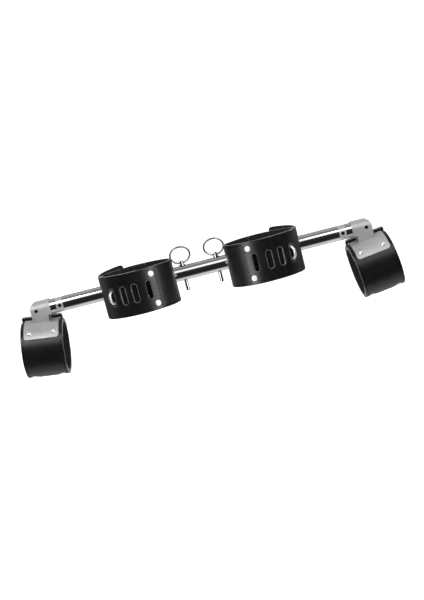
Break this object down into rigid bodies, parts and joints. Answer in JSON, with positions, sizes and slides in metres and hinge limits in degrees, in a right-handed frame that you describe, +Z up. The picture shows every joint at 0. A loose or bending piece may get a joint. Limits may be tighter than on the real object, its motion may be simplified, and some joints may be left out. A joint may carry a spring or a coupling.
{
  "type": "spreader bar with cuffs",
  "caption": "Telescoping steel bar with leather cuffs clamped to it and hung from swivelling brackets at its ends; ring pins lock its length, slotted straps close over staples.",
  "frame": {"origin": "centre of the bar, on the bar's axis", "axes": "+X along the bar to the right half, +Z up, the front of the cuffs faces -Y"},
  "size_m": [0.6578, 0.1547, 0.1619],
  "materials": {
    "black_leather": "smooth satin black",
    "polished_tube": "polished",
    "satin_steel": "satin",
    "dark_screws": "black oxide",
    "bright_steel": "bright plated"
  },
  "bodies": {
    "inner_bar": {"inner_tube": "polished_tube"},
    "left_arm": {"left_arm_tube": "polished_tube", "left_end_collar": "satin_steel", "left_collar_screws": "dark_screws", "left_clamp": "satin_steel", "left_backing_plate": "dark_screws", "left_clamp_rivets": "bright_steel", "left_middle_base_strap": "black_leather", "left_middle_strap_root": "black_leather", "left_middle_staple": "bright_steel", "left_middle_staple_rivets": "bright_steel"},
    "left_middle_flap": {"left_middle_strap_front": "black_leather", "left_middle_doubler": "black_leather", "left_middle_strap_rivets": "bright_steel"},
    "left_middle_tail": {"left_middle_strap_tail": "black_leather"},
    "left_pin": {"left_ring_pin": "bright_steel"},
    "left_ring": {"left_pull_ring": "bright_steel"},
    "left_ball": {"left_detent_ball": "bright_steel"},
    "left_swivel": {"left_swivel_spindle": "satin_steel", "left_yoke": "satin_steel", "left_yoke_screws": "dark_screws", "left_saddle_plate": "satin_steel", "left_end_rivets": "bright_steel", "left_end_base_strap": "black_leather", "left_end_strap_root": "black_leather", "left_end_staple": "bright_steel"},
    "left_end_flap": {"left_end_strap_front": "black_leather", "left_end_doubler": "black_leather", "left_end_strap_rivets": "bright_steel"},
    "left_end_tail": {"left_end_strap_tail": "black_leather"},
    "right_arm": {"right_arm_tube": "polished_tube", "right_end_collar": "satin_steel", "right_collar_screws": "dark_screws", "right_clamp": "satin_steel", "right_backing_plate": "dark_screws", "right_clamp_rivets": "bright_steel", "right_middle_base_strap": "black_leather", "right_middle_strap_root": "black_leather", "right_middle_staple": "bright_steel", "right_middle_staple_rivets": "bright_steel"},
    "right_middle_flap": {"right_middle_strap_front": "black_leather", "right_middle_doubler": "black_leather", "right_middle_strap_rivets": "bright_steel"},
    "right_middle_tail": {"right_middle_strap_tail": "black_leather"},
    "right_pin": {"right_ring_pin": "bright_steel"},
    "right_ring": {"right_pull_ring": "bright_steel"},
    "right_ball": {"right_detent_ball": "bright_steel"},
    "right_swivel": {"right_swivel_spindle": "satin_steel", "right_yoke": "satin_steel", "right_yoke_screws": "dark_screws", "right_saddle_plate": "satin_steel", "right_end_rivets": "bright_steel", "right_end_base_strap": "black_leather", "right_end_strap_root": "black_leather", "right_end_staple": "bright_steel"},
    "right_end_flap": {"right_end_strap_front": "black_leather", "right_end_doubler": "black_leather", "right_end_strap_rivets": "bright_steel"},
    "right_end_tail": {"right_end_strap_tail": "black_leather"}
  },
  "joints": [
    {"name": "left_arm_slide", "type": "slide", "parent": "inner_bar", "child": "left_arm", "axis": [-1, 0, 0], "range_m": [0, 0.15]},
    {"name": "left_pin_pull", "type": "slide", "parent": "left_arm", "child": "left_pin", "axis": [0, 0, 1], "range_m": [0, 0.045]},
    {"name": "left_ring_swing", "type": "hinge", "parent": "left_pin", "child": "left_ring", "pos_m": [-0.0295, 0, 0.017], "axis": [1, 0, 0], "range_deg": [-38, 122]},
    {"name": "left_ball_press", "type": "slide", "parent": "left_pin", "child": "left_ball", "axis": [1, 0, 0], "range_m": [0, 0.0006]},
    {"name": "left_end_swivel", "type": "hinge", "parent": "left_arm", "child": "left_swivel", "pos_m": [-0.25, 0, 0], "axis": [1, 0, 0], "continuous": true},
    {"name": "left_middle_open", "type": "hinge", "parent": "left_arm", "child": "left_middle_flap", "pos_m": [-0.05428, -0.08442, 0], "axis": [0, 0, 1], "range_deg": [0, 125]},
    {"name": "left_middle_tail_curl", "type": "hinge", "parent": "left_middle_flap", "child": "left_middle_tail", "pos_m": [-0.15572, -0.08442, 0], "axis": [0, 0, 1], "range_deg": [0, 132]},
    {"name": "left_end_open", "type": "hinge", "parent": "left_swivel", "child": "left_end_flap", "pos_m": [-0.29153, -0.03957, -0.09248], "axis": [-0.9919, 0, 0.1271], "range_deg": [0, 165]},
    {"name": "left_end_tail_curl", "type": "hinge", "parent": "left_end_flap", "child": "left_end_tail", "pos_m": [-0.29187, 0.03764, -0.09515], "axis": [-0.9919, 0, 0.1271], "range_deg": [0, 108]},
    {"name": "right_arm_slide", "type": "slide", "parent": "inner_bar", "child": "right_arm", "axis": [1, 0, 0], "range_m": [0, 0.15]},
    {"name": "right_pin_pull", "type": "slide", "parent": "right_arm", "child": "right_pin", "axis": [0, 0, 1], "range_m": [0, 0.045]},
    {"name": "right_ring_swing", "type": "hinge", "parent": "right_pin", "child": "right_ring", "pos_m": [0.0295, 0, 0.017], "axis": [1, 0, 0], "range_deg": [-38, 122]},
    {"name": "right_ball_press", "type": "slide", "parent": "right_pin", "child": "right_ball", "axis": [-1, 0, 0], "range_m": [0, 0.0006]},
    {"name": "right_end_swivel", "type": "hinge", "parent": "right_arm", "child": "right_swivel", "pos_m": [0.25, 0, 0], "axis": [1, 0, 0], "continuous": true},
    {"name": "right_middle_open", "type": "hinge", "parent": "right_arm", "child": "right_middle_flap", "pos_m": [0.05428, -0.08442, 0], "axis": [0, 0, -1], "range_deg": [0, 125]},
    {"name": "right_middle_tail_curl", "type": "hinge", "parent": "right_middle_flap", "child": "right_middle_tail", "pos_m": [0.15572, -0.08442, 0], "axis": [0, 0, -1], "range_deg": [0, 132]},
    {"name": "right_end_open", "type": "hinge", "parent": "right_swivel", "child": "right_end_flap", "pos_m": [0.29153, -0.03957, -0.09248], "axis": [-0.9919, 0, -0.1271], "range_deg": [0, 165]},
    {"name": "right_end_tail_curl", "type": "hinge", "parent": "right_end_flap", "child": "right_end_tail", "pos_m": [0.29187, 0.03764, -0.09515], "axis": [-0.9919, 0, -0.1271], "range_deg": [0, 108]}
  ],
  "couplings": [
    {"joint": "left_middle_tail_curl", "follows": "left_middle_open", "ratio": 1.05},
    {"joint": "left_end_tail_curl", "follows": "left_end_open", "ratio": 0.65},
    {"joint": "right_middle_tail_curl", "follows": "right_middle_open", "ratio": 1.05},
    {"joint": "right_end_tail_curl", "follows": "right_end_open", "ratio": 0.65}
  ]
}
